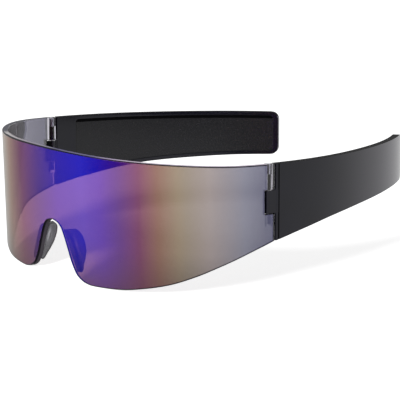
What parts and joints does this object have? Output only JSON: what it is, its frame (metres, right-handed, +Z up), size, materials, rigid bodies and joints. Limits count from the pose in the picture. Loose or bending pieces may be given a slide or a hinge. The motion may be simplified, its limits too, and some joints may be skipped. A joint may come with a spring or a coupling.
{
  "type": "shield sunglasses",
  "caption": "Wraparound mirrored shield sunglasses with a nose cut-out, clear nose pads and wide temples that fold inwards on pinned hinges.",
  "frame": {"origin": "under the middle of the model's box, level with the lens's lowest edge", "axes": "+X is the wearer's left, -Y is the front of the lens, +Z is up, square to the flat top edge"},
  "size_m": [0.146, 0.1248, 0.045],
  "materials": {
    "lens_mirror": "polished, mirror coated in blue, violet and bronze",
    "pad_clear": "polished, clear smoke",
    "temple_black": "gloss moulded",
    "pin_steel": "bright turned"
  },
  "bodies": {
    "front": {"lens_shield": "lens_mirror", "nose_pad_left": "pad_clear", "nose_pad_right": "pad_clear", "hinge_pin_left": "pin_steel", "hinge_pin_right": "pin_steel"},
    "temple_left": {"temple_left": "temple_black"},
    "temple_right": {"temple_right": "temple_black"}
  },
  "joints": [
    {"name": "temple_left_fold", "type": "hinge", "parent": "front", "child": "temple_left", "pos_m": [0.0712, -0.02004, 0.0323], "axis": [0, 0, 1], "range_deg": [0, 90]},
    {"name": "temple_right_fold", "type": "hinge", "parent": "front", "child": "temple_right", "pos_m": [-0.0712, -0.02004, 0.0323], "axis": [0, 0, -1], "range_deg": [0, 72]}
  ]
}
